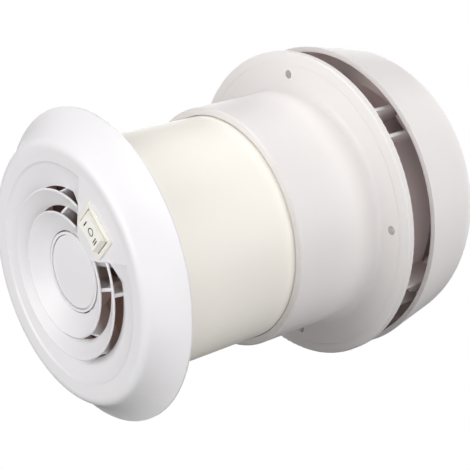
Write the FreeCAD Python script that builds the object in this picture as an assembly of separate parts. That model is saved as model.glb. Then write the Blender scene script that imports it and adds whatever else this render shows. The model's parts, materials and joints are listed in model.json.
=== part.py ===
"""Camper roof vent fan: telescopic duct with a roof flange, mushroom cap, ceiling grille and 12 V fan.

Millimetres, +Z up along the duct. The origin is on the duct axis, on the flange face that meets the roof.
The switch faces -Y. The telescope is drawn out as far as the photograph shows it.
"""
import FreeCAD, Part
import math
import os

V = FreeCAD.Vector
UP = V(0, 0, 1)
HERE = V(0, 0, 0)

# Drawing: how far a cut runs past the faces that it opens, and how close two points count as one
CUT_OVER = 1.0
SAME_POINT = 1e-7

# Duct tube and the sleeve that it slides in
TUBE_R = 55.0
TUBE_WALL = 2.4
TUBE_LENGTH = 117.0
TUBE_EDGE = 0.5
SLIDE_GAP = 0.3
SLEEVE_WALL = 3.7
SLEEVE_BELOW = 50.0
SLEEVE_ABOVE = 36.0
SLEEVE_EDGE = 0.9
SLEEVE_LEAD = 0.3

# Roof flange
FLANGE_REACH = 19.0
FLANGE_T = 4.2
FLANGE_EDGE = 0.8
FLANGE_ROOT = 3.6
LINE_INSET = 5.4
LINE_W = 1.0
LINE_DEPTH = 0.2
ROOF_SCREWS = 4
ROOF_SCREW_OUT = 8.0
ROOF_HOLE_R = 2.2
ROOF_SCREW_ANGLE = 42.5

# Struts that carry the cap: pairs of upright plates round the sleeve
STRUT_ANGLES = (-90.0, -12.0, 90.0, 192.0)
STRUT_SPREAD = 12.2
STRUT_REACH = 11.0
STRUT_T = 1.7
STRUT_TOE = 3.0
STRUT_RISE = 2.0
CATCH_H = 4.0
CATCH_T = 2.5
CATCH_DROP = 1.5

# Mushroom cap
CAP_INSET = 0.42
AIR_GAP = 14.1
CAP_WALL = 2.5
CAP_DRAFT = 10.8
CAP_SKIRT = 27.5
CAP_SHOULDER = 21.0
CAP_CROWN = 260.0
SEAT_W = 20.0
TONGUE_W = 9.0
TONGUE_T = 2.0
TONGUE_BARB = 1.6
CATCH_GAP = 0.5

# Ceiling bezel
ROOF_SPAN = 122.0
BEZEL_DEPTH = 15.2
BEZEL_REACH = 17.5
BEZEL_WALL = 2.2
BEZEL_EDGE = 0.8
CREST_OUT = 2.1
CREST_ROUND = 5.0
FLARE_ROUND = 40.0
DISH_SLOPE = 5.0
STEP_IN = 5.0
STEP_DEPTH = 0.7
STEP_RUN = 1.2
OPENING_R = 39.4
OPENING_DROP = 4.0
DISH_WALL = 1.7
SEAT_DEPTH = 7.0
SEAT_LIP = 0.4
SPIGOT_H = 17.0
SPIGOT_WALL = 2.75
SPIGOT_GAP = 0.25

# Louvre cones, hub and spokes of the grille
LOUVRE_RIMS = (38.8, 28.7)
LOUVRE_BACKS = (31.2, 19.6)
LOUVRE_PROUD = 0.6
LOUVRE_SLOPE = 31.0
LOUVRE_T = 1.1
HUB_R = 18.5
HUB_WALL = 1.2
HUB_DROP = 4.3
HUB_H = 8.0
HUB_FLOOR = 2.0
BADGE_R = 17.0
BADGE_T = 3.0
BADGE_CROWN = 0.5
BADGE_DROP = 0.2
SPOKE_ANGLES = (43.5, 98.5, 153.0)
SPOKE_T = 1.6
SPOKE_DEPTH = 13.0
SPOKE_TIP = 0.4

# Switch pad and rocker switch
PAD_APEX = 14.0
PAD_SPLAY_ANGLE = 33.7
PAD_DROP = 0.3
PAD_LEAN_ANGLE = 45.0
PAD_BLEND_ANGLE = 68.0
PAD_T = 3.0
PAD_SLOPE_IN = 6.0
SWITCH_R = 38.3
SWITCH_L = 21.0
SWITCH_W = 15.0
SWITCH_LIP = 0.8
SWITCH_BODY_L = 18.8
SWITCH_BODY_W = 12.6
SWITCH_BODY_H = 14.0
SWITCH_WALL = 1.2
SWITCH_FLOOR = 1.6
SWITCH_CORNER = 1.0
SWITCH_GAP = 0.2
WELL_L = 17.2
CLIP_T = 0.7
CLIP_H = 4.0
CLIP_W = 5.0
ROCKER_L = 15.9
ROCKER_TOP = 13.5
ROCKER_W = 9.6
ROCKER_RISE = 2.2
ROCKER_DIP = 0.9
ROCKER_DEPTH = 2.6
ROCKER_TAPER = 0.8
PIVOT_DEPTH = 1.9
PIVOT_R = 1.2
PIVOT_GAP = 0.05
POLE_SPACING = 5.0
THROW_SPACING = 5.5
TAB_W = 3.2
TAB_T = 0.8
TAB_LENGTH = 7.5
CONTACT_H = 2.6
BAR_LENGTH = 13.0
BAR_W = 2.6
BAR_T = 0.6
BAR_LIFT = 0.3
BAR_TILT = 7.0
BAR_STOP = 0.2
PLUNGER_R = 0.9
PLUNGER_GAP = 0.5
SPRING_H = 1.6

# Fan bracket
RING_T = 4.0
RING_WALL = 3.8
EAR_R = 4.0
BOSS_IN = 3.6
BOSS_R = 3.4
BOSS_H = 13.0
CASE_SCREW_R = 1.3
CASE_SCREW_L = 14.0
CASE_HEAD_R = 2.8
CASE_HEAD_H = 1.9
SCREW_GAP = 0.1
BOSS_ANGLES = (90.0, 210.0, 330.0)
LEG_ANGLES = (30.0, 150.0, 270.0)
LEG_W = 8.0
LEG_T = 3.0
LEG_H = 28.0
ARM_T = 3.0
PLATE_R = 15.5

# Motor
MOTOR_R = 13.9
MOTOR_LENGTH = 38.0
CAN_WALL = 0.9
CAN_FRONT = 1.2
NOSE_R = 5.0
NOSE_H = 2.2
NOSE_GAP = 0.2
BUSH_R = 3.0
BUSH_LENGTH = 3.4
SHAFT_R = 1.15
SHAFT_GAP = 0.05
SHAFT_TAIL = 1.0
END_CAP_T = 3.0
MAGNET_T = 2.4
MAGNET_LENGTH = 24.0
MAGNET_ANGLE = 126.0
CORE_GAP = 0.5
CORE_LENGTH = 20.0
CORE_FRONT = 5.0
CORE_HUB_R = 3.4
POLES = 3
POLE_W = 2.6
SHOE_T = 1.7
SHOE_ANGLE = 100.0
COIL_W = 8.4
COIL_END = 2.4
COIL_GAP = 0.2
COMM_R = 2.7
COMM_LENGTH = 4.0
COMM_FRONT = 28.5
COMM_SLIT = 0.4
BRUSH_GAP = 0.08
BRUSH_L = 4.0
BRUSH_W = 2.0
BRUSH_H = 3.0
HOLDER_T = 1.0
LUG_X = 5.0
LUG_Y = 8.0
LUG_W = 2.8
LUG_T = 0.6
LUG_LENGTH = 4.5
MOTOR_SCREW_OUT = 8.0
MOTOR_SCREW_R = 1.25
MOTOR_HEAD_R = 2.2
MOTOR_HEAD_H = 1.6
WASHER_R = 2.5
WASHER_T = 0.4

# Impeller
BLADES = 5
TIP_GAP = 2.8
FAN_LIFT = 3.6
FAN_HUB_R = 15.0
FAN_HUB_H = 15.0
FAN_HUB_WALL = 2.0
FAN_BOSS_R = 4.0
BLADE_T = 1.8
BLADE_ROOT = 17.0
BLADE_TIP = 28.0
ROOT_PITCH = 45.0
TIP_PITCH = 24.0
CLIP_R = 3.2
CLIP_RING_T = 0.8
SHAFT_NOSE = 1.2

# Leads and supply inlet
LEAD_R = 0.8
LEAD_OUT = 8.0
LEAD_IN = 7.0
LEAD_TAP = 2.0
LEAD_OVER = 5.0
LEAD_BEND = 0.45
GROMMET_ANGLE = 104.0
GROMMET_DOWN = 0.6
GROMMET_HOLE_R = 4.0
GROMMET_BORE_R = 2.2
GROMMET_LIP_R = 5.4
GROMMET_LIP_T = 1.0

# Radii that follow from the sizes above
TUBE_BORE = TUBE_R - TUBE_WALL
SLEEVE_BORE = TUBE_R + SLIDE_GAP
SLEEVE_R = SLEEVE_BORE + SLEEVE_WALL
FLANGE_R = SLEEVE_R + FLANGE_REACH
STRUT_R = SLEEVE_R + STRUT_REACH
CAP_R = FLANGE_R - CAP_INSET
BEZEL_R = TUBE_R + BEZEL_REACH
CREST_R = TUBE_R + CREST_OUT
STEP_R = TUBE_R - STEP_IN
SPIGOT_R = TUBE_BORE - SPIGOT_GAP
SPIGOT_IN = SPIGOT_R - SPIGOT_WALL
BOSS_AT = SPIGOT_IN - BOSS_IN
CAN_IN = MOTOR_R - CAN_WALL
CORE_R = CAN_IN - MAGNET_T - CORE_GAP
TIP_R = TUBE_BORE - TIP_GAP

# Heights that follow from the sizes above
CAP_Z = FLANGE_T + AIR_GAP
STRUT_TOP = SLEEVE_ABOVE + STRUT_RISE
REAR_Z = -ROOF_SPAN
CREST_Z = REAR_Z - BEZEL_DEPTH
OPENING_Z = CREST_Z + OPENING_DROP
SEAT_Z = REAR_Z - SEAT_DEPTH
SPIGOT_TOP = SEAT_Z + SPIGOT_H
RIMS_Z = CREST_Z - LOUVRE_PROUD
HUB_Z = CREST_Z + HUB_DROP
BADGE_SEAT = HUB_Z + BADGE_DROP + BADGE_T
PAD_Z = CREST_Z + PAD_DROP
SWITCH_FRONT = PAD_Z - SWITCH_LIP
SWITCH_BACK = PAD_Z + SWITCH_BODY_H
PIVOT_Z = PAD_Z + PIVOT_DEPTH
BAR_Z = SWITCH_BACK - SWITCH_FLOOR - CONTACT_H
TAB_END = SWITCH_BACK + TAB_LENGTH
GROMMET_Z = SPIGOT_TOP - GROMMET_LIP_R - GROMMET_DOWN
RING_TOP = SPIGOT_TOP + RING_T
ARM_Z = SPIGOT_TOP + RING_T + LEG_H
PLATE_TOP = ARM_Z + ARM_T
MOTOR_TAIL = ARM_Z - MOTOR_LENGTH
CAN_FACE = ARM_Z - CAN_FRONT
NOSE_TOP = ARM_Z + NOSE_H
CORE_TOP = ARM_Z - CORE_FRONT
COMM_TOP = ARM_Z - COMM_FRONT
FAN_Z = PLATE_TOP + FAN_LIFT
FAN_TOP = FAN_Z + FAN_HUB_H
SHAFT_TOP = FAN_TOP + CLIP_RING_T + SHAFT_NOSE


def polar(radius, degrees):
    angle = math.radians(degrees)
    return radius * math.cos(angle), radius * math.sin(angle)


def arc(centre, radius, first, last):
    """Middle and end point of an arc about a centre, from one angle to another in degrees."""
    points = []
    for angle in ((first + last) / 2, last):
        across, along = polar(radius, angle)
        points.append((centre[0] + across, centre[1] + along))
    return tuple(points)


def section(start, *steps):
    """Closed face in the XZ plane. A step is a point, or the middle and end points of an arc."""
    first = V(start[0], 0, start[1])
    here = first
    edges = []
    for step in steps + (start,):
        curved = isinstance(step[0], tuple)
        end = step[1] if curved else step
        there = V(end[0], 0, end[1])
        if curved:
            middle = V(step[0][0], 0, step[0][1])
            edges.append(Part.Arc(here, middle, there).toShape())
        elif here.distanceToPoint(there) > SAME_POINT:
            edges.append(Part.LineSegment(here, there).toShape())
        here = there
    return Part.Face(Part.Wire(edges))


def turned(face, first=0.0, angle=360.0):
    face.rotate(HERE, UP, first)
    return face.revolve(HERE, UP, angle)


def ring_part(inner, outer, low, high, span):
    """Part of a ring, half its span on either side of +X."""
    face = section((inner, low), (outer, low), (outer, high), (inner, high))
    return turned(face, -span / 2, span)


def ring(inner, outer, low, high):
    return ring_part(inner, outer, low, high, 360.0)


def rod(radius, low, high, x=0.0, y=0.0):
    return Part.makeCylinder(radius, high - low, V(x, y, low))


def block(x, y, z):
    """Box between the low and high values of each axis."""
    return Part.makeBox(x[1] - x[0], y[1] - y[0], z[1] - z[0], V(x[0], y[0], z[0]))


def plate(points, thickness):
    """Upright plate in the XZ plane, half its thickness on either side."""
    face = section(*points)
    face.translate(V(0, -thickness / 2, 0))
    return face.extrude(V(0, thickness, 0))


def around(shape, angles):
    copies = []
    for angle in angles:
        copy = shape.copy()
        copy.rotate(HERE, UP, angle)
        copies.append(copy)
    return copies


def evenly(count, first=0.0):
    return [first + 360.0 * index / count for index in range(count)]


def fused(first, *others):
    return first.multiFuse(list(others)).removeSplitter()


def group(shapes):
    return Part.makeCompound(shapes)


def strut_angles():
    half = STRUT_SPREAD / 2
    return [middle + side for middle in STRUT_ANGLES for side in (-half, half)]


def catch_radius():
    """Inner face of the bars that the cap's tongues hook under."""
    return STRUT_R - STRUT_T / 2 - CATCH_T


def roof_flange():
    low = -SLEEVE_BELOW
    edge = SLEEVE_EDGE
    line = FLANGE_R - LINE_INSET
    rim = FLANGE_R - FLANGE_EDGE
    body = turned(section(
        (SLEEVE_BORE, low + SLEEVE_LEAD),
        (SLEEVE_BORE + SLEEVE_LEAD, low),
        (SLEEVE_R - edge, low),
        arc((SLEEVE_R - edge, low + edge), edge, -90, 0),
        (SLEEVE_R, -FLANGE_ROOT),
        arc((SLEEVE_R + FLANGE_ROOT, -FLANGE_ROOT), FLANGE_ROOT, 180, 90),
        (line - LINE_W / 2, 0),
        (line - LINE_W / 2, LINE_DEPTH),
        (line + LINE_W / 2, LINE_DEPTH),
        (line + LINE_W / 2, 0),
        (rim, 0),
        arc((rim, FLANGE_EDGE), FLANGE_EDGE, -90, 0),
        (FLANGE_R, FLANGE_T - FLANGE_EDGE),
        arc((rim, FLANGE_T - FLANGE_EDGE), FLANGE_EDGE, 0, 90),
        (SLEEVE_R, FLANGE_T),
        (SLEEVE_R, SLEEVE_ABOVE),
        (SLEEVE_BORE, SLEEVE_ABOVE),
    ))
    root = SLEEVE_R - SLEEVE_WALL / 2
    strut = plate([
        (root, FLANGE_T / 2),
        (STRUT_R + STRUT_TOE, FLANGE_T / 2),
        (STRUT_R + STRUT_TOE, FLANGE_T),
        (STRUT_R, FLANGE_T + STRUT_TOE),
        (STRUT_R, STRUT_TOP),
        (root, STRUT_TOP),
    ], STRUT_T)
    half = STRUT_R * math.sin(math.radians(STRUT_SPREAD / 2))
    top = STRUT_TOP - CATCH_DROP
    catch_in = catch_radius()
    catch = block((catch_in, catch_in + CATCH_T), (-half, half), (top - CATCH_H, top))
    body = fused(body, *around(strut, strut_angles()), *around(catch, STRUT_ANGLES))
    hole = rod(ROOF_HOLE_R, -FLANGE_T, 2 * FLANGE_T, SLEEVE_R + ROOF_SCREW_OUT)
    return body.cut(around(hole, evenly(ROOF_SCREWS, ROOF_SCREW_ANGLE)))


def cap_solid(inset, drop):
    """Solid inside the cap's outer surface moved in by an inset, its foot dropped below the lip."""
    draft = math.radians(CAP_DRAFT)
    top = (CAP_R - CAP_SKIRT * math.tan(draft), CAP_Z + CAP_SKIRT)
    centre = (top[0] - CAP_SHOULDER * math.cos(draft), top[1] - CAP_SHOULDER * math.sin(draft))
    crown = (0.0, centre[1] - math.sqrt((CAP_CROWN - CAP_SHOULDER) ** 2 - centre[0] ** 2))
    meet = math.degrees(math.atan2(centre[1] - crown[1], centre[0]))
    foot = (CAP_R - inset / math.cos(draft) + drop * math.tan(draft), CAP_Z - drop)
    return turned(section(
        (0, CAP_Z - drop),
        foot,
        (top[0] - inset * math.cos(draft), top[1] - inset * math.sin(draft)),
        arc(centre, CAP_SHOULDER - inset, CAP_DRAFT, meet),
        arc(crown, CAP_CROWN - inset, meet, 90),
    ))


def mushroom_cap():
    shell = cap_solid(0, 0).cut(cap_solid(CAP_WALL, CUT_OVER))
    catch_in = catch_radius()
    back = catch_in - CATCH_GAP - TONGUE_T
    barb_top = STRUT_TOP - CATCH_DROP - CATCH_H - CATCH_GAP
    barb = catch_in - CATCH_GAP + TONGUE_BARB
    seat = block((SLEEVE_R, STRUT_R), (-SEAT_W / 2, SEAT_W / 2), (STRUT_TOP, STRUT_TOP + CAP_CROWN))
    inside = cap_solid(CAP_WALL / 2, 0)
    tongue = plate([
        (back, barb_top - 2 * TONGUE_T),
        (back + TONGUE_T, barb_top - 2 * TONGUE_T),
        (barb, barb_top - TONGUE_T / 2),
        (barb, barb_top),
        (back + TONGUE_T, barb_top),
        (back + TONGUE_T, STRUT_TOP + TONGUE_T),
        (back, STRUT_TOP + TONGUE_T),
    ], TONGUE_W)
    seats = [copy.common(inside) for copy in around(seat, STRUT_ANGLES)]
    return fused(shell, *seats, *around(tongue, STRUT_ANGLES))


def inner_tube():
    top = SEAT_Z + TUBE_LENGTH
    tube = turned(section(
        (TUBE_BORE, SEAT_Z),
        (TUBE_R, SEAT_Z),
        (TUBE_R, top - TUBE_EDGE),
        (TUBE_R - TUBE_EDGE, top),
        (TUBE_BORE, top),
    ))
    return tube.cut(inlet_hole())


def grommet_rod(radius, inner, outer):
    """Round bar lying along the supply inlet, between two distances from the duct axis."""
    bar = Part.makeCylinder(radius, outer - inner, V(inner, 0, GROMMET_Z), V(1, 0, 0))
    return around(bar, [GROMMET_ANGLE])[0]


def inlet_hole():
    return grommet_rod(GROMMET_HOLE_R, SPIGOT_IN - SPIGOT_WALL, TUBE_R + TUBE_WALL)


def supply_grommet():
    """Bush through the tube and the spigot, with a lip on each side that follows the round wall."""
    inner = SPIGOT_IN - GROMMET_LIP_T
    outer = TUBE_R + GROMMET_LIP_T
    blank = grommet_rod(GROMMET_LIP_R, inner, outer)
    wall = ring(SPIGOT_IN, TUBE_R, SEAT_Z, RING_TOP).cut(inlet_hole())
    bore = grommet_rod(GROMMET_BORE_R, inner - TUBE_WALL, outer + TUBE_WALL)
    return blank.cut([wall, bore])


def flare_centre(crest):
    """Centre of the hollow flare arc, which touches the crest arc and ends at the rim."""
    rim = (BEZEL_R, REAR_Z - BEZEL_EDGE)
    across = rim[0] - crest[0]
    along = rim[1] - crest[1]
    span = math.hypot(across, along)
    reach = CREST_ROUND + FLARE_ROUND
    share = (reach ** 2 - FLARE_ROUND ** 2 + span ** 2) / (2 * span)
    side = math.sqrt(reach ** 2 - share ** 2)
    return (
        crest[0] + (share * across + side * along) / span,
        crest[1] + (share * along - side * across) / span,
    )


def bezel():
    crest = (CREST_R, CREST_Z + CREST_ROUND)
    flare = flare_centre(crest)
    touch = math.degrees(math.atan2(flare[1] - crest[1], flare[0] - crest[0]))
    rim_angle = math.degrees(math.atan2(REAR_Z - BEZEL_EDGE - flare[1], BEZEL_R - flare[0]))
    inner_round = CREST_ROUND - BEZEL_WALL
    back_round = FLARE_ROUND + BEZEL_WALL
    back_angle = 180 - math.degrees(math.asin((REAR_Z - flare[1]) / back_round))
    dish_start = arc(crest, CREST_ROUND, touch, -90 - DISH_SLOPE)
    step_top = STEP_R + STEP_RUN
    step_z = dish_start[1][1] + (dish_start[1][0] - step_top) * math.tan(math.radians(DISH_SLOPE))
    seat_r = TUBE_R + SEAT_LIP
    return turned(section(
        (BEZEL_R, REAR_Z),
        (BEZEL_R, REAR_Z - BEZEL_EDGE),
        arc(flare, FLARE_ROUND, rim_angle, touch + 180),
        dish_start,
        (step_top, step_z),
        (STEP_R, step_z + STEP_DEPTH),
        (OPENING_R, OPENING_Z),
        (OPENING_R, OPENING_Z + DISH_WALL),
        (SPIGOT_IN, step_z + STEP_DEPTH + DISH_WALL),
        (SPIGOT_IN, SPIGOT_TOP),
        (SPIGOT_R, SPIGOT_TOP),
        (SPIGOT_R, SEAT_Z),
        (seat_r, SEAT_Z),
        (seat_r, crest[1] - inner_round),
        (CREST_R, crest[1] - inner_round),
        arc(crest, inner_round, -90, touch),
        arc(flare, back_round, touch + 180, back_angle),
    ))


def louvre_back(index):
    """Radius and height of the inner edge of a louvre cone."""
    drop = (LOUVRE_RIMS[index] - LOUVRE_BACKS[index]) * math.tan(math.radians(LOUVRE_SLOPE))
    return LOUVRE_BACKS[index], RIMS_Z + drop


def louvre(index):
    """Cone that flares towards the room, with round edges, ending in the flanks of the switch pad."""
    front = (LOUVRE_RIMS[index], RIMS_Z)
    back = louvre_back(index)
    lean = 90 - LOUVRE_SLOPE
    half = LOUVRE_T / 2
    start = arc(front, half, lean, lean)[1]
    face = section(
        start,
        arc(back, half, lean, lean)[1],
        arc(back, half, lean, lean + 180),
        arc(front, half, lean + 180, lean + 180)[1],
        arc(front, half, lean + 180, lean + 360),
    )
    return turned(face).cut(pad_wedge(LOUVRE_T / 4, 0.0))


def spoke():
    """Radial web under the louvres, from the hub out to the wall of the spigot."""
    back_z = CREST_Z + SPOKE_DEPTH
    inner = HUB_R - HUB_WALL / 2
    points = [(inner, back_z), (inner, HUB_Z + LOUVRE_T)]
    for index in (1, 0):
        points.append(louvre_back(index))
        points.append((LOUVRE_RIMS[index] - SPOKE_TIP, RIMS_Z + SPOKE_TIP))
    points.append((OPENING_R, OPENING_Z + DISH_WALL / 2))
    points.append((SPIGOT_IN + SPIGOT_WALL / 2, OPENING_Z + DISH_WALL / 2))
    points.append((SPIGOT_IN + SPIGOT_WALL / 2, back_z))
    return plate(points, SPOKE_T)


def pad_outline(inset, height):
    """Triangle between the flanks of the pad, moved in by an inset, at a height."""
    splay = math.radians(PAD_SPLAY_ANGLE)
    tip = -PAD_APEX - inset / math.sin(splay)
    far = 2 * TUBE_R
    corners = [V(0, tip, height)]
    for side in (1, -1):
        corners.append(V(side * far * math.sin(splay), tip - far * math.cos(splay), height))
    return Part.makePolygon(corners + [corners[0]])


def pad_wedge(inset, lean):
    """Wedge between the flanks of the pad, which lean out with depth, moved in by an inset."""
    spread = math.tan(math.radians(lean))
    front = CREST_Z - PAD_T
    back = HUB_Z + PAD_T
    outlines = []
    for height in (front, back):
        outlines.append(pad_outline(inset - (height - PAD_Z) * spread, height))
    return Part.makeLoft(outlines, True, True)


def switch_pad():
    """Flat land for the switch: steep flanks between the louvres, gentle ones out on the dish."""
    start = HUB_R - HUB_WALL / 2
    top = HUB_R + PAD_SLOPE_IN
    land = turned(section(
        (start, HUB_Z + PAD_T),
        (start, HUB_Z + LOUVRE_T / 2),
        (top, PAD_Z),
        (OPENING_R, PAD_Z),
        (OPENING_R, PAD_Z + PAD_T),
        (top, PAD_Z + PAD_T),
    ))
    apron = ring(OPENING_R, TUBE_R, PAD_Z, OPENING_Z + DISH_WALL / 2)
    return fused(land.common(pad_wedge(0.0, PAD_LEAN_ANGLE)), apron.common(pad_wedge(0.0, PAD_BLEND_ANGLE)))


def screw_boss():
    low = SPIGOT_TOP - BOSS_H
    boss = rod(BOSS_R, low, SPIGOT_TOP, BOSS_AT)
    wall = block((BOSS_AT, SPIGOT_IN + SPIGOT_WALL / 2), (-BOSS_R / 2, BOSS_R / 2), (low, SPIGOT_TOP))
    return boss.fuse(wall)


def at_switch(shape):
    """Move a shape drawn at the switch's own centre to the switch's place on the pad."""
    shape.translate(V(0, -SWITCH_R, 0))
    return shape


def ceiling_grille():
    hub = ring(HUB_R - HUB_WALL, HUB_R, HUB_Z, HUB_Z + HUB_H)
    floor = ring(0, HUB_R - HUB_WALL / 2, BADGE_SEAT, BADGE_SEAT + HUB_FLOOR)
    spokes = around(spoke(), [-90 + side * angle for angle in SPOKE_ANGLES for side in (-1, 1)])
    cones = [louvre(index) for index in range(len(LOUVRE_RIMS))]
    bosses = around(screw_boss(), BOSS_ANGLES)
    body = fused(bezel(), hub, floor, switch_pad(), *cones, *spokes, *bosses)
    length = SWITCH_BODY_L + 2 * SWITCH_GAP
    width = SWITCH_BODY_W + 2 * SWITCH_GAP
    window = centred_block(length, width, PAD_Z - PAD_T, SWITCH_BACK)
    relief = centred_block(length + 2 * CLIP_T, width, PAD_Z + PAD_T, SWITCH_BACK)
    pilot = rod(CASE_SCREW_R + SCREW_GAP, SPIGOT_TOP - CASE_SCREW_L, SPIGOT_TOP + RING_T, BOSS_AT)
    cuts = [at_switch(window), at_switch(relief), inlet_hole()]
    return body.cut(cuts + around(pilot, BOSS_ANGLES))


def centre_badge():
    """Plain round cover in the middle of the grille, slightly domed."""
    front = BADGE_SEAT - BADGE_T
    edge = BADGE_CROWN
    crown = (BADGE_R ** 2 / (2 * BADGE_CROWN)) + BADGE_CROWN / 2
    tilt = math.degrees(math.asin((BADGE_R - edge) / crown))
    centre = (0.0, front + crown - BADGE_CROWN)
    return turned(section(
        (0, BADGE_SEAT),
        (0, front - BADGE_CROWN),
        arc(centre, crown, -90, -90 + tilt),
        (BADGE_R, front + edge),
        (BADGE_R, BADGE_SEAT),
    ))


def centred_block(length, width, low, high):
    return block((-length / 2, length / 2), (-width / 2, width / 2), (low, high))


def pivot_pin(radius, length):
    """Bar along the rocker's pivot line."""
    return Part.makeCylinder(radius, length, V(0, -length / 2, PIVOT_Z), V(0, 1, 0))


def rounded_block(length, width, low, high):
    """Upright block with rounded corners, centred on the switch's own axis."""
    shape = centred_block(length, width, low, high)
    upright = [edge for edge in shape.Edges if edge.BoundBox.ZLength > (high - low) / 2]
    return shape.makeFillet(SWITCH_CORNER, upright)


def switch_housing():
    well_w = SWITCH_BODY_W - 2 * SWITCH_WALL
    frame = rounded_block(SWITCH_L, SWITCH_W, SWITCH_FRONT, PAD_Z)
    rim = [edge for edge in frame.Edges if edge.BoundBox.ZMax < PAD_Z - SWITCH_LIP / 2]
    frame = frame.makeChamfer(SWITCH_LIP / 3, rim)
    body = centred_block(SWITCH_BODY_L, SWITCH_BODY_W, PAD_Z, SWITCH_BACK)
    clip_z = PAD_Z + PAD_T
    clip = plate([
        (SWITCH_BODY_L / 2 - SWITCH_WALL / 2, clip_z),
        (SWITCH_BODY_L / 2 + CLIP_T, clip_z),
        (SWITCH_BODY_L / 2, clip_z + CLIP_H),
        (SWITCH_BODY_L / 2 - SWITCH_WALL / 2, clip_z + CLIP_H),
    ], CLIP_W)
    body = fused(frame, body, *around(clip, (0, 180)))
    cavity = centred_block(WELL_L, well_w, SWITCH_FRONT - CUT_OVER, SWITCH_BACK - SWITCH_FLOOR)
    pivot = pivot_pin(PIVOT_R + PIVOT_GAP, SWITCH_BODY_W)
    slots = [tab_shape(x, y, 0) for x, y in tab_places()]
    return at_switch(body.cut([cavity, pivot] + slots))


def tab_places():
    pole = POLE_SPACING / 2
    return [(x, y) for y in (-pole, pole) for x in (-THROW_SPACING, 0.0, THROW_SPACING)]


def tab_shape(x, y, foot):
    """Terminal blade through the switch floor, its foot standing that far inside the switch."""
    low = SWITCH_BACK - SWITCH_FLOOR - foot
    return block((x - TAB_W / 2, x + TAB_W / 2), (y - TAB_T / 2, y + TAB_T / 2), (low, TAB_END))


def switch_terminals():
    """Six blades: the middle ones carry the contact bars, the end ones are struck by them."""
    middle = CONTACT_H - BAR_LIFT
    struck = CONTACT_H - BAR_LENGTH / 2 * math.sin(math.radians(BAR_TILT)) - BAR_STOP
    tabs = []
    for x, y in tab_places():
        tabs.append(tab_shape(x, y, middle if x == 0 else struck))
    return at_switch(group(tabs))


def contact_bars():
    """Pair of contact bars that see-saw on the middle blades."""
    bars = []
    for side in (-1, 1):
        y = side * POLE_SPACING / 2
        bars.append(block(
            (-BAR_LENGTH / 2, BAR_LENGTH / 2), (y - BAR_W / 2, y + BAR_W / 2), (BAR_Z - BAR_T, BAR_Z)))
    return at_switch(group(bars))


def switch_rocker():
    crown = SWITCH_FRONT - ROCKER_RISE
    foot = PIVOT_Z + ROCKER_DEPTH
    half = ROCKER_L / 2
    body = plate([
        (-half, SWITCH_FRONT),
        (-ROCKER_TOP / 2, crown),
        (0, crown + ROCKER_DIP),
        (ROCKER_TOP / 2, crown),
        (half, SWITCH_FRONT),
        (half - ROCKER_TAPER, foot),
        (-half + ROCKER_TAPER, foot),
    ], ROCKER_W)
    body = fused(body, pivot_pin(PIVOT_R, SWITCH_BODY_W - SWITCH_WALL))
    wells = []
    for side in (-1, 1):
        y = side * POLE_SPACING / 2
        wells.append(rod(PLUNGER_R + SHAFT_GAP, foot - SPRING_H - PLUNGER_R, foot + CUT_OVER, 0, y))
    return at_switch(body.cut(wells))


def plunger_tip():
    return BAR_Z - BAR_T - PLUNGER_GAP


def switch_plungers():
    """Round-nosed pins that press the contact bars."""
    pins = []
    seat = PIVOT_Z + ROCKER_DEPTH - PLUNGER_R
    tip = plunger_tip()
    for side in (-1, 1):
        pin = turned(section(
            (0, seat),
            (PLUNGER_R, seat),
            (PLUNGER_R, tip - PLUNGER_R),
            arc((0, tip - PLUNGER_R), PLUNGER_R, 0, 90),
        ))
        pin.translate(V(0, side * POLE_SPACING / 2, 0))
        pins.append(pin)
    return at_switch(group(pins))


def plunger_springs():
    """Springs above the plungers, each drawn as the sleeve that its turns fill."""
    foot = PIVOT_Z + ROCKER_DEPTH - PLUNGER_R
    springs = []
    for side in (-1, 1):
        spring = ring(PLUNGER_R / 2, PLUNGER_R, foot - SPRING_H, foot)
        spring.translate(V(0, side * POLE_SPACING / 2, 0))
        springs.append(spring)
    return at_switch(group(springs))


def motor_bracket():
    outer = SPIGOT_R
    base = ring(outer - RING_WALL, outer, SPIGOT_TOP, RING_TOP)
    ear = rod(EAR_R, SPIGOT_TOP, RING_TOP, BOSS_AT)
    leg = block((outer - LEG_T, outer), (-LEG_W / 2, LEG_W / 2), (SPIGOT_TOP, PLATE_TOP))
    arm = block((0, outer), (-LEG_W / 2, LEG_W / 2), (ARM_Z, PLATE_TOP))
    limit = ring(0, outer, SPIGOT_TOP, PLATE_TOP)
    legs = [copy.common(limit) for copy in around(leg, LEG_ANGLES) + around(arm, LEG_ANGLES)]
    hub = ring(0, PLATE_R, ARM_Z, PLATE_TOP)
    body = fused(base, hub, *legs, *around(ear, BOSS_ANGLES))
    under = ARM_Z - CUT_OVER
    over = PLATE_TOP + CUT_OVER
    nose = rod(NOSE_R + NOSE_GAP, under, over)
    case_hole = rod(CASE_SCREW_R + SCREW_GAP, SPIGOT_TOP - CUT_OVER, RING_TOP + CUT_OVER, BOSS_AT)
    motor_hole = rod(MOTOR_SCREW_R + SCREW_GAP, under, over, MOTOR_SCREW_OUT)
    return body.cut([nose] + around(case_hole, BOSS_ANGLES) + around(motor_hole, (0, 180)))


def screw(radius, length, head_r, head_h, top, x):
    """Pan-head screw whose head sits on a face at the given height."""
    return fused(rod(radius, top - length, top, x), rod(head_r, top, top + head_h, x))


def bracket_screws():
    one = screw(CASE_SCREW_R, CASE_SCREW_L, CASE_HEAD_R, CASE_HEAD_H, RING_TOP, BOSS_AT)
    return group(around(one, BOSS_ANGLES))


def motor_screws():
    length = ARM_T + CAN_FRONT
    one = screw(MOTOR_SCREW_R, length, MOTOR_HEAD_R, MOTOR_HEAD_H, PLATE_TOP, MOTOR_SCREW_OUT)
    return group(around(one, (0, 180)))


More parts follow.
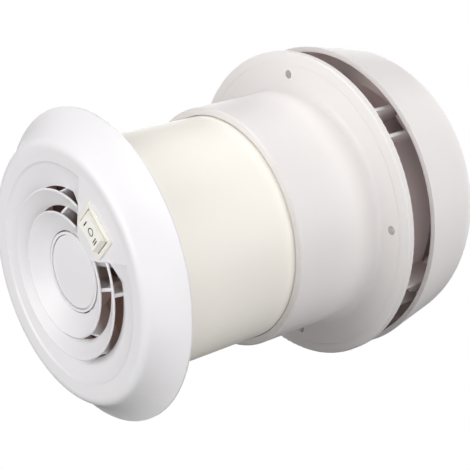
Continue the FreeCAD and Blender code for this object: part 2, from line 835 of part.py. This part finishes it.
def motor_can():
    body = turned(section(
        (CAN_IN, MOTOR_TAIL),
        (MOTOR_R, MOTOR_TAIL),
        (MOTOR_R, ARM_Z),
        (NOSE_R, ARM_Z),
        (NOSE_R, NOSE_TOP),
        (BUSH_R, NOSE_TOP),
        (BUSH_R, CAN_FACE),
        (CAN_IN, CAN_FACE),
    ))
    hole = rod(MOTOR_SCREW_R + SCREW_GAP, CAN_FACE - CUT_OVER, ARM_Z + CUT_OVER, MOTOR_SCREW_OUT)
    return body.cut(around(hole, (0, 180)))


def brush_block(inner, outer, half, low, high):
    return block((inner, outer), (-half, half), (low, high))


def brush_height():
    middle = COMM_TOP - COMM_LENGTH / 2
    return middle - BRUSH_H / 2, middle + BRUSH_H / 2


def motor_brushes():
    inner = COMM_R + BRUSH_GAP
    low, high = brush_height()
    brush = brush_block(inner, inner + BRUSH_L, BRUSH_W / 2, low, high)
    return group(around(brush, (0, 180)))


def motor_end_cap():
    face = MOTOR_TAIL + END_CAP_T
    disc = ring(BUSH_R, CAN_IN, MOTOR_TAIL, face)
    low, high = brush_height()
    inner = COMM_R + BRUSH_GAP + HOLDER_T
    outer = COMM_R + BRUSH_GAP + BRUSH_L + HOLDER_T
    half = BRUSH_W / 2 + HOLDER_T
    holder = brush_block(inner, outer, half, face - END_CAP_T / 2, high + HOLDER_T)
    slot = brush_block(inner - CUT_OVER, outer - HOLDER_T, BRUSH_W / 2, low, high)
    body = fused(disc, *around(holder, (0, 180)))
    return body.cut(around(slot, (0, 180)) + motor_lugs())


def motor_lugs():
    lugs = []
    for side in (-1, 1):
        x = side * LUG_X
        lugs.append(block(
            (x - LUG_W / 2, x + LUG_W / 2), (-LUG_Y - LUG_T, -LUG_Y),
            (MOTOR_TAIL - LUG_LENGTH, MOTOR_TAIL + END_CAP_T)))
    return lugs


def motor_terminals():
    return group(motor_lugs())


def motor_bushes():
    bore = SHAFT_R + SHAFT_GAP
    front = ring(bore, BUSH_R, NOSE_TOP - BUSH_LENGTH, NOSE_TOP)
    rear = ring(bore, BUSH_R, MOTOR_TAIL, MOTOR_TAIL + BUSH_LENGTH)
    return group([front, rear])


def motor_magnets():
    low = CORE_TOP - CORE_LENGTH / 2 - MAGNET_LENGTH / 2
    magnet = ring_part(CAN_IN - MAGNET_T, CAN_IN, low, low + MAGNET_LENGTH, MAGNET_ANGLE)
    return group(around(magnet, (0, 180)))


def motor_shaft():
    return rod(SHAFT_R, MOTOR_TAIL - SHAFT_TAIL, SHAFT_TOP)


def armature_core():
    low = CORE_TOP - CORE_LENGTH
    middle = ring(SHAFT_R, CORE_HUB_R, low, CORE_TOP)
    shoe_in = CORE_R - SHOE_T
    neck = block((CORE_HUB_R / 2, shoe_in + SHOE_T / 2), (-POLE_W / 2, POLE_W / 2), (low, CORE_TOP))
    neck = neck.cut(rod(SHAFT_R, low - CUT_OVER, CORE_TOP + CUT_OVER))
    shoe = ring_part(shoe_in, CORE_R, low, CORE_TOP, SHOE_ANGLE)
    return fused(middle, *around(neck, evenly(POLES)), *around(shoe, evenly(POLES)))


def armature_winding():
    """One coil round the neck of each pole."""
    low = CORE_TOP - CORE_LENGTH
    inner = CORE_HUB_R + COIL_GAP
    outer = CORE_R - SHOE_T - COIL_GAP
    outside = block((inner, outer), (-COIL_W / 2, COIL_W / 2), (low - COIL_END, CORE_TOP + COIL_END))
    half = POLE_W / 2 + SHAFT_GAP
    reach = (inner - CUT_OVER, outer + CUT_OVER)
    inside = block(reach, (-half, half), (low - SHAFT_GAP, CORE_TOP + SHAFT_GAP))
    limit = ring(inner, outer, low - COIL_END, CORE_TOP + COIL_END)
    return group(around(outside.cut(inside).common(limit), evenly(POLES)))


def commutator():
    low = COMM_TOP - COMM_LENGTH
    drum = ring(SHAFT_R, COMM_R, low, COMM_TOP)
    depth = (COMM_R - SHAFT_R) / 2
    reach = (COMM_R - depth, COMM_R + CUT_OVER)
    slit = block(reach, (-COMM_SLIT / 2, COMM_SLIT / 2), (low - CUT_OVER, COMM_TOP + CUT_OVER))
    return drum.cut(around(slit, evenly(POLES, 180.0 / POLES)))


def thrust_washers():
    front = NOSE_TOP - BUSH_LENGTH - SHAFT_GAP
    rear = MOTOR_TAIL + BUSH_LENGTH + SHAFT_GAP
    return group([
        ring(SHAFT_R, WASHER_R, front - WASHER_T, front),
        ring(SHAFT_R, WASHER_R, rear, rear + WASHER_T),
    ])


def blade_outline(radius, chord, pitch):
    """Rectangle across a blade at a distance from the axis, set at its pitch."""
    angle = math.radians(pitch)
    along = V(0, math.cos(angle), math.sin(angle))
    across = V(0, -math.sin(angle), math.cos(angle))
    middle = V(radius, 0, FAN_Z + FAN_HUB_H / 2)
    points = []
    for end, side in ((-1, -1), (1, -1), (1, 1), (-1, 1)):
        points.append(middle + along * (end * chord / 2) + across * (side * BLADE_T / 2))
    return Part.makePolygon(points + [points[0]])


def impeller():
    """Axial fan: a cup hub on a boss, with twisted blades."""
    shell = turned(section(
        (SHAFT_R, FAN_Z),
        (FAN_BOSS_R, FAN_Z),
        (FAN_BOSS_R, FAN_TOP - FAN_HUB_WALL),
        (FAN_HUB_R - FAN_HUB_WALL, FAN_TOP - FAN_HUB_WALL),
        (FAN_HUB_R - FAN_HUB_WALL, FAN_Z),
        (FAN_HUB_R, FAN_Z),
        (FAN_HUB_R, FAN_TOP),
        (SHAFT_R, FAN_TOP),
    ))
    root = blade_outline(FAN_HUB_R - FAN_HUB_WALL / 2, BLADE_ROOT, ROOT_PITCH)
    tip = blade_outline(TIP_R + BLADE_T, BLADE_TIP, TIP_PITCH)
    blade = Part.makeLoft([root, tip], True, True)
    span = ring(FAN_HUB_R - FAN_HUB_WALL / 2, TIP_R, FAN_Z - FAN_HUB_H, FAN_TOP + FAN_HUB_H)
    return fused(shell, *around(blade.common(span), evenly(BLADES)))


def impeller_clip():
    return ring(SHAFT_R, CLIP_R, FAN_TOP, FAN_TOP + CLIP_RING_T)


def lead_route(side):
    """Corners of a lead from a motor lug to the middle blade of one pole of the switch."""
    lug = MOTOR_TAIL - LUG_LENGTH / 2
    x = side * LUG_X
    near = -SWITCH_R + POLE_SPACING / 2 + TAB_T / 2
    far = -SWITCH_R - POLE_SPACING / 2
    start = [V(x, -LUG_Y - LUG_T, lug), V(x, -LUG_Y - LUG_T - LEAD_OUT, lug)]
    if side < 0:
        height = TAB_END - LEAD_TAP
        return start + [V(0, near + LEAD_IN, height), V(0, near, height)]
    height = TAB_END + LEAD_OVER
    rise = [V(x, near + LEAD_OUT, TAB_END), V(x / 2, near + LEAD_TAP, height)]
    return start + rise + [V(0, far, height), V(0, far, TAB_END)]


def lead(points):
    """Round lead along a route, each corner a tangent arc as large as its runs allow."""
    edges = []
    here = points[0]
    for before, corner, after in zip(points, points[1:], points[2:]):
        back = before - corner
        ahead = after - corner
        cut = LEAD_BEND * min(back.Length, ahead.Length)
        back.normalize()
        ahead.normalize()
        half = back.getAngle(ahead) / 2
        radius = cut * math.tan(half)
        middle = back + ahead
        middle.normalize()
        top = corner + middle * (radius / math.sin(half) - radius)
        first = corner + back * cut
        last = corner + ahead * cut
        edges.append(Part.LineSegment(here, first).toShape())
        edges.append(Part.Arc(first, top, last).toShape())
        here = last
    edges.append(Part.LineSegment(here, points[-1]).toShape())
    path = Part.Wire(edges)
    outline = Part.Wire(Part.makeCircle(LEAD_R, points[0], points[1] - points[0]))
    tube = path.makePipeShell([outline], True, False)
    share = tube.Volume / (math.pi * LEAD_R ** 2 * path.Length)
    print("lead length", round(path.Length, 1), "volume share", round(share, 4))
    return tube


def motor_leads():
    return group([lead(lead_route(side)) for side in (-1, 1)])


PIECES = (
    roof_flange, mushroom_cap, inner_tube, ceiling_grille, centre_badge, supply_grommet,
    switch_housing, switch_rocker, switch_terminals, contact_bars, switch_plungers, plunger_springs,
    motor_bracket, bracket_screws, motor_screws, motor_can, motor_end_cap, motor_magnets, motor_bushes,
    motor_brushes, motor_terminals, motor_leads, motor_shaft, armature_core, armature_winding, commutator,
    thrust_washers, impeller, impeller_clip,
)

os.makedirs("parts", exist_ok=True)
for piece in PIECES:
    piece().exportStep(os.path.join("parts", piece.__name__ + ".step"))
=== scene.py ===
import json
import math

import bpy
from mathutils import Matrix, Vector


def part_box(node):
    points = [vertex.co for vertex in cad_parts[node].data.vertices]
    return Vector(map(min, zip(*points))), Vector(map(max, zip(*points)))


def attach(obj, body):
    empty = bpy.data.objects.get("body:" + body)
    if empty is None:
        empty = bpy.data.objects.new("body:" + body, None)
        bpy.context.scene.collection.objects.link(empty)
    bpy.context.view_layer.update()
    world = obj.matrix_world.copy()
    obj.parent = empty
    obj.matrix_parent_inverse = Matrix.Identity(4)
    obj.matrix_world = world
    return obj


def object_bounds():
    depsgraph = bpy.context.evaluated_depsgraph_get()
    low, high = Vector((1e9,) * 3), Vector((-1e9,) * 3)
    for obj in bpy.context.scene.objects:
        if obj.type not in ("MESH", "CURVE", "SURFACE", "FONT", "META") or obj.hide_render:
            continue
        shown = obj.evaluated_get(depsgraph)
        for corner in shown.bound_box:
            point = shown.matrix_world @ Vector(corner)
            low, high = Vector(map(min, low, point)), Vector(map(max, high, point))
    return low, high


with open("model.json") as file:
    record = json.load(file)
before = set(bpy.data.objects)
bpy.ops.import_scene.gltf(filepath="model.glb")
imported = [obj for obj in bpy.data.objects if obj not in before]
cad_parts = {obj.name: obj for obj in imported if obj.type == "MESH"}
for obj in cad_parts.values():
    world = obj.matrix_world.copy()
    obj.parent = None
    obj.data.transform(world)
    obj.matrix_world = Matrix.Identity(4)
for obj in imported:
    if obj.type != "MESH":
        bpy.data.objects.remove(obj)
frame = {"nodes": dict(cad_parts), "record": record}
cad_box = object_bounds()
scene = bpy.context.scene

# Camera: its place and axes in the row frame, its lens and sensor in millimetres, the nearest that it sees
EYE = Vector((0.1775, -0.4572, -0.4040))
RIGHT = Vector((0.4763, -0.4277, 0.7683))
TOP = Vector((-0.8326, -0.5002, 0.2377))
BACK = Vector((0.2827, -0.7528, -0.5944))
LENS = 95.98
SENSOR = 36.0
NEAREST = 0.01

# Soft square lights: steps to the camera's right, up and back from the point that they face, size and power
AIM = Vector((0.0, 0.0, -0.035))
LIGHTS = (
    ("top", 0.0, 1.2, 0.15, 1.0, 9.1),
    ("left_front", -0.95, 0.15, 0.75, 1.0, 12.1),
    ("low_front", 0.1, -0.6, 1.0, 1.0, 5.1),
    ("right_front", 0.95, 0.15, 0.75, 1.0, 8.1),
    ("overhead", 1.0, 0.31, -0.77, 1.2, 5.6),
    ("rear", 0.0, 0.2, -1.2, 1.0, 6.0),
)

# Backdrop: the weak fill that lights the object, and the white that the camera sees
FILL = 0.06
FILL_COLOUR = (1.0, 0.985, 0.98, 1.0)
WHITE = (1.0, 1.0, 1.0, 1.0)

# Small warm lamps for the light that the thin walls let through: the body that carries them, power and places
LAMPS = (
    ("ceiling_unit", 0.003, ((0.030, -0.007, -0.100), (-0.030, -0.007, -0.100), (0.0, 0.029, -0.100))),
    ("roof_base", 0.0012, ((-0.013, -0.048, 0.050), (-0.038, -0.032, 0.050))),
)
LAMP_COLOUR = (1.0, 0.80, 0.74)
LAMP_SIZE = 0.006

# Looks: colour and roughness
SHELL_LOOK = ((0.85, 0.82, 0.81), 0.38)
BEZEL_LOOK = ((0.835, 0.822, 0.835), 0.36)
PLASTICS = {
    "white_shell": SHELL_LOOK,
    "white_cap": SHELL_LOOK,
    "white_bezel": BEZEL_LOOK,
    "white_disc": BEZEL_LOOK,
    "cream_tube": ((0.97, 0.937, 0.866), 0.42),
    "ivory_switch": ((0.875, 0.855, 0.785), 0.34),
    "ivory_rocker": ((0.955, 0.935, 0.865), 0.34),
    "black_plastic": ((0.16, 0.125, 0.115), 0.5),
    "black_rubber": ((0.02, 0.02, 0.02), 0.7),
    "dark_iron": ((0.08, 0.08, 0.085), 0.6),
    "mark_ink": ((0.012, 0.011, 0.011), 0.55),
}
METALS = {
    "steel": ((0.62, 0.62, 0.63), 0.35),
    "brass": ((0.72, 0.58, 0.30), 0.35),
    "copper": ((0.62, 0.28, 0.12), 0.4),
}
# Nodes with a look of their own instead of their slot's
OWN_LOOKS = {"mushroom_cap": "white_cap", "centre_badge": "white_disc", "switch_rocker": "ivory_rocker"}

# Surfaces: scale and detail of the cloudy tint, spread of the roughness, detail and depth of the grain
PLASTIC_IOR = 1.48
CLOUD_SCALE = 26.0
CLOUD_DETAIL = 4.0
SHEEN_SPREAD = 0.05
GRAIN_DETAIL = 2.0
GRAIN_DEPTH = 0.0002
# Strength of the tint, strength of the grain and scale of the grain
PLASTIC_SURFACE = (0.02, 0.02, 900.0)
METAL_SURFACE = (0.04, 0.04, 1500.0)

# Painted shade on the insides, where less light reaches: look, shade colour, heights at which the painted
# shade starts and is full, the node whose outer radius bounds it, depths below that radius at which it starts
# and is full, and the wall's taper
PAINTED_INNER_SHADES = (
    ("white_cap", (0.80, 0.72, 0.71), (0.046, 0.040), "mushroom_cap", (0.0016, 0.0029), 0.19),
    ("white_shell", (0.76, 0.67, 0.67), (0.0043, 0.0070), "roof_flange", (0.0080, 0.0160), 0.0),
    ("white_bezel", (0.55, 0.44, 0.41), (-0.1327, -0.1295), "inner_tube", (0.0045, 0.0050), 0.0),
    ("cream_tube", (0.42, 0.30, 0.26), (-0.20, -0.19), "inner_tube", (0.0008, 0.0018), 0.0),
)

# Colour sockets of a Mix node: two inputs and the result
MIX_A = 6
MIX_B = 7
MIX_RESULT = 2

# Floor: half its width, its place below the object with room for the telescope, its colour and roughness,
# its brightness, its brightness in the darkest of its painted shadow and how far from the object the painted
# shadow reaches
FLOOR_HALF = 6.0
FLOOR_DROP = 0.0055
FLOOR_COLOUR = (0.02, 0.02, 0.02, 1.0)
FLOOR_ROUGH = 0.8
FLOOR_GLOW = 0.90
FLOOR_SHADE = 0.35
SHADE_REACH = 0.09

# Rocker's face, a shallow V: depth of its middle below its ends, and half its length
ROCKER_DIP = 0.0009
ROCKER_HALF = 0.00675

# Ink marks: half their thickness, radii of the ring, places of the strokes along the rocker, half a stroke's
# length and width, and the width and length of its narrower ends
INK = 0.00004
RING_RADII = (0.00188, 0.00142)
RING_STEPS = 48
STROKES = {"mark_one": -0.0044, "mark_two_left": 0.0041, "mark_two_right": 0.0053}
STROKE_LENGTH = 0.0017
STROKE_WIDTH = 0.00029
STROKE_END_WIDTH = 0.00018
STROKE_END_LENGTH = 0.0001


def camera():
    data = bpy.data.cameras.new("camera")
    data.sensor_width = SENSOR
    data.lens = LENS
    data.clip_start = NEAREST
    item = bpy.data.objects.new("camera", data)
    back = BACK.normalized()
    right = (RIGHT - back * RIGHT.dot(back)).normalized()
    turn = Matrix((right, back.cross(right), back)).transposed().to_4x4()
    item.matrix_world = Matrix.Translation(EYE) @ turn
    scene.collection.objects.link(item)
    scene.camera = item


def light(name, across, up, back, size, power):
    """Soft square light placed by the camera's axes, facing the middle of the object."""
    data = bpy.data.lights.new(name, "AREA")
    data.shape = "SQUARE"
    data.size = size
    data.energy = power
    item = bpy.data.objects.new(name, data)
    item.location = AIM + RIGHT * across + TOP * up + BACK * back
    item.rotation_euler = (AIM - item.location).to_track_quat("-Z", "Y").to_euler()
    item.visible_camera = False
    scene.collection.objects.link(item)


def lamp(body, power, place):
    """Small warm lamp inside the object, carried by a body."""
    data = bpy.data.lights.new("lamp", "POINT")
    data.energy = power
    data.color = LAMP_COLOUR
    data.shadow_soft_size = LAMP_SIZE
    item = bpy.data.objects.new("lamp", data)
    item.location = place
    item.visible_camera = False
    scene.collection.objects.link(item)
    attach(item, body)


def backdrop(tree, colour, strength):
    node = tree.nodes.new("ShaderNodeBackground")
    node.inputs["Color"].default_value = colour
    node.inputs["Strength"].default_value = strength
    return node.outputs["Background"]


def studio():
    """White backdrop with a weak fill, the soft lights and the lamps."""
    scene.view_settings.view_transform = "Standard"
    scene.view_settings.look = "None"
    scene.view_settings.exposure = 0.0
    scene.view_settings.gamma = 1.0
    world = bpy.data.worlds.new("studio")
    world.use_nodes = True
    tree = world.node_tree
    tree.nodes.clear()
    out = tree.nodes.new("ShaderNodeOutputWorld")
    mix = tree.nodes.new("ShaderNodeMixShader")
    path = tree.nodes.new("ShaderNodeLightPath")
    tree.links.new(path.outputs["Is Camera Ray"], mix.inputs["Fac"])
    tree.links.new(backdrop(tree, FILL_COLOUR, FILL), mix.inputs[1])
    tree.links.new(backdrop(tree, WHITE, 1.0), mix.inputs[2])
    tree.links.new(mix.outputs["Shader"], out.inputs["Surface"])
    scene.world = world
    for values in LIGHTS:
        light(*values)
    for body, power, places in LAMPS:
        for place in places:
            lamp(body, power, place)


def plastic(name, colour, rough, surface=PLASTIC_SURFACE):
    """Moulded plastic: a faint cloudy tint, an uneven sheen and a fine moulded grain."""
    tint, bump, scale = surface
    mat = bpy.data.materials.new(name)
    mat.use_nodes = True
    tree = mat.node_tree
    shader = tree.nodes["Principled BSDF"]
    shader.inputs["IOR"].default_value = PLASTIC_IOR
    place = tree.nodes.new("ShaderNodeTexCoord").outputs["Object"]
    cloud = tree.nodes.new("ShaderNodeTexNoise")
    cloud.inputs["Scale"].default_value = CLOUD_SCALE
    cloud.inputs["Detail"].default_value = CLOUD_DETAIL
    tree.links.new(place, cloud.inputs["Vector"])
    shades = tree.nodes.new("ShaderNodeMix")
    shades.data_type = "RGBA"
    shades.inputs[MIX_A].default_value = (*[c * (1 - tint) for c in colour], 1.0)
    shades.inputs[MIX_B].default_value = (*[min(1.0, c * (1 + tint)) for c in colour], 1.0)
    tree.links.new(cloud.outputs["Fac"], shades.inputs["Factor"])
    tree.links.new(shades.outputs[MIX_RESULT], shader.inputs["Base Color"])
    sheen = tree.nodes.new("ShaderNodeMapRange")
    sheen.inputs["To Min"].default_value = rough - SHEEN_SPREAD
    sheen.inputs["To Max"].default_value = rough + SHEEN_SPREAD
    tree.links.new(cloud.outputs["Fac"], sheen.inputs["Value"])
    tree.links.new(sheen.outputs["Result"], shader.inputs["Roughness"])
    grain = tree.nodes.new("ShaderNodeTexNoise")
    grain.inputs["Scale"].default_value = scale
    grain.inputs["Detail"].default_value = GRAIN_DETAIL
    tree.links.new(place, grain.inputs["Vector"])
    relief = tree.nodes.new("ShaderNodeBump")
    relief.inputs["Strength"].default_value = bump
    relief.inputs["Distance"].default_value = GRAIN_DEPTH
    tree.links.new(grain.outputs["Fac"], relief.inputs["Height"])
    tree.links.new(relief.outputs["Normal"], shader.inputs["Normal"])
    return mat


def metal(name, colour, rough):
    """Metal with a stronger tint and a finer grain than plastic."""
    mat = plastic(name, colour, rough, METAL_SURFACE)
    mat.node_tree.nodes["Principled BSDF"].inputs["Metallic"].default_value = 1.0
    return mat


def ramp(tree, value, start, full):
    """Share that runs smoothly from none at one value to all at another."""
    node = tree.nodes.new("ShaderNodeMapRange")
    node.interpolation_type = "SMOOTHSTEP"
    node.inputs["From Min"].default_value = start
    node.inputs["From Max"].default_value = full
    tree.links.new(value, node.inputs["Value"])
    return node.outputs["Result"]


def paint_inner_shade(mat, colour, heights, radii, taper):
    """Paint shade on a moulding's inside: darker by height and by distance from the axis of its tapered wall.
    """
    tree = mat.node_tree
    shader = tree.nodes["Principled BSDF"]
    unshaded_colour = shader.inputs["Base Color"].links[0].from_socket
    place = tree.nodes.new("ShaderNodeTexCoord")
    axes = tree.nodes.new("ShaderNodeSeparateXYZ")
    tree.links.new(place.outputs["Object"], axes.inputs["Vector"])
    flat = tree.nodes.new("ShaderNodeCombineXYZ")
    tree.links.new(axes.outputs["X"], flat.inputs["X"])
    tree.links.new(axes.outputs["Y"], flat.inputs["Y"])
    span = tree.nodes.new("ShaderNodeVectorMath")
    span.operation = "LENGTH"
    tree.links.new(flat.outputs["Vector"], span.inputs[0])
    reach = tree.nodes.new("ShaderNodeMath")
    reach.operation = "MULTIPLY_ADD"
    reach.inputs[1].default_value = taper
    tree.links.new(axes.outputs["Z"], reach.inputs[0])
    tree.links.new(span.outputs["Value"], reach.inputs[2])
    # Share of painted shade: the height ramp times the ramp by distance from the wall's axis
    share = tree.nodes.new("ShaderNodeMath")
    share.operation = "MULTIPLY"
    tree.links.new(ramp(tree, axes.outputs["Z"], *heights), share.inputs[0])
    tree.links.new(ramp(tree, reach.outputs["Value"], *radii), share.inputs[1])
    # Mix the painted shade colour into the moulding's own colour
    mix = tree.nodes.new("ShaderNodeMix")
    mix.data_type = "RGBA"
    mix.inputs[MIX_B].default_value = (*colour, 1.0)
    tree.links.new(share.outputs["Value"], mix.inputs["Factor"])
    tree.links.new(unshaded_colour, mix.inputs[MIX_A])
    tree.links.new(mix.outputs[MIX_RESULT], shader.inputs["Base Color"])


def dress():
    """Make the looks and give each node its own or its slot's."""
    looks = {name: plastic(name, *look) for name, look in PLASTICS.items()}
    looks.update({name: metal(name, *look) for name, look in METALS.items()})
    # Painted shade on the insides of some looks
    for name, colour, heights, node, depths, taper in PAINTED_INNER_SHADES:
        low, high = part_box(node)
        skin = high.x + taper * low.z
        paint_inner_shade(looks[name], colour, heights, [skin - depth for depth in depths], taper)
    for entry in frame["record"]["subparts"]:
        look = OWN_LOOKS.get(entry["node"], entry["material_slot"])
        data = frame["nodes"][entry["node"]].data
        data.materials.clear()
        data.materials.append(looks[look])
    return looks


def printed(name, edges, closed, look):
    """Thin layer of ink on the rocker between two matching edges, which run round where it is closed."""
    low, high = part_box("switch_rocker")
    middle = Vector((0.0, (low.y + high.y) / 2, low.z))
    count = len(edges[0])
    verts = []
    for lift in (-INK, INK):
        for x, y in edges[0] + edges[1]:
            dip = ROCKER_DIP * (1.0 - abs(x) / ROCKER_HALF)
            verts.append(middle + Vector((x, y, dip + lift)))
    faces = []
    for here in range(count if closed else count - 1):
        there = (here + 1) % count
        for first, second in ((0, 2), (2, 3), (3, 1), (1, 0)):
            start = first * count
            end = second * count
            faces.append((start + here, start + there, end + there, end + here))
    if not closed:
        last = count - 1
        faces.append((0, 2 * count, 3 * count, count))
        faces.append((last, count + last, 3 * count + last, 2 * count + last))
    data = bpy.data.meshes.new(name)
    data.from_pydata(verts, [], faces)
    data.materials.append(look)
    item = bpy.data.objects.new(name, data)
    scene.collection.objects.link(item)
    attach(item, "rocker")


def switch_marks(look):
    """Ring for off in the rocker's middle, one and two strokes at its ends."""
    turns = [math.tau * step / RING_STEPS for step in range(RING_STEPS)]
    ring = [[(r * math.cos(a), r * math.sin(a)) for a in turns] for r in RING_RADII]
    printed("mark_off", ring, True, look)
    shoulder = STROKE_LENGTH - STROKE_END_LENGTH
    outline = [
        (-STROKE_LENGTH, STROKE_END_WIDTH),
        (-shoulder, STROKE_WIDTH),
        (shoulder, STROKE_WIDTH),
        (STROKE_LENGTH, STROKE_END_WIDTH),
    ]
    for name, x in STROKES.items():
        stroke = [[(x + side * half, y) for y, half in outline] for side in (1, -1)]
        printed(name, stroke, False, look)


def floor():
    """Pale even floor under the object, seen from above only, with a painted shadow that dims its glow close
    to the object.
    """
    low = cad_box[0][2] - FLOOR_DROP
    corners = [(x * FLOOR_HALF, y * FLOOR_HALF, low) for x, y in ((-1, -1), (1, -1), (1, 1), (-1, 1))]
    data = bpy.data.meshes.new("floor")
    data.from_pydata(corners, [], [(0, 1, 2, 3)])
    item = bpy.data.objects.new("floor", data)
    mat = bpy.data.materials.new("floor")
    mat.use_nodes = True
    tree = mat.node_tree
    shader = tree.nodes["Principled BSDF"]
    shader.inputs["Base Color"].default_value = FLOOR_COLOUR
    shader.inputs["Roughness"].default_value = FLOOR_ROUGH
    shader.inputs["Specular IOR Level"].default_value = 0.0
    shader.inputs["Emission Color"].default_value = WHITE
    # Painted contact shadow: the floor glows less where the object is near
    near = tree.nodes.new("ShaderNodeAmbientOcclusion")
    near.inputs["Distance"].default_value = SHADE_REACH
    glow = tree.nodes.new("ShaderNodeMapRange")
    glow.inputs["To Min"].default_value = FLOOR_SHADE
    glow.inputs["To Max"].default_value = FLOOR_GLOW
    tree.links.new(near.outputs["AO"], glow.inputs["Value"])
    tree.links.new(glow.outputs["Result"], shader.inputs["Emission Strength"])
    side = tree.nodes.new("ShaderNodeNewGeometry")
    clear = tree.nodes.new("ShaderNodeBsdfTransparent")
    mix = tree.nodes.new("ShaderNodeMixShader")
    tree.links.new(side.outputs["Backfacing"], mix.inputs["Fac"])
    tree.links.new(shader.outputs["BSDF"], mix.inputs[1])
    tree.links.new(clear.outputs["BSDF"], mix.inputs[2])
    tree.links.new(mix.outputs["Shader"], tree.nodes["Material Output"].inputs["Surface"])
    data.materials.append(mat)
    scene.collection.objects.link(item)
    item.visible_diffuse = False
    item.visible_glossy = False
    item.visible_shadow = False


camera()
studio()
looks = dress()
switch_marks(looks["mark_ink"])
floor()
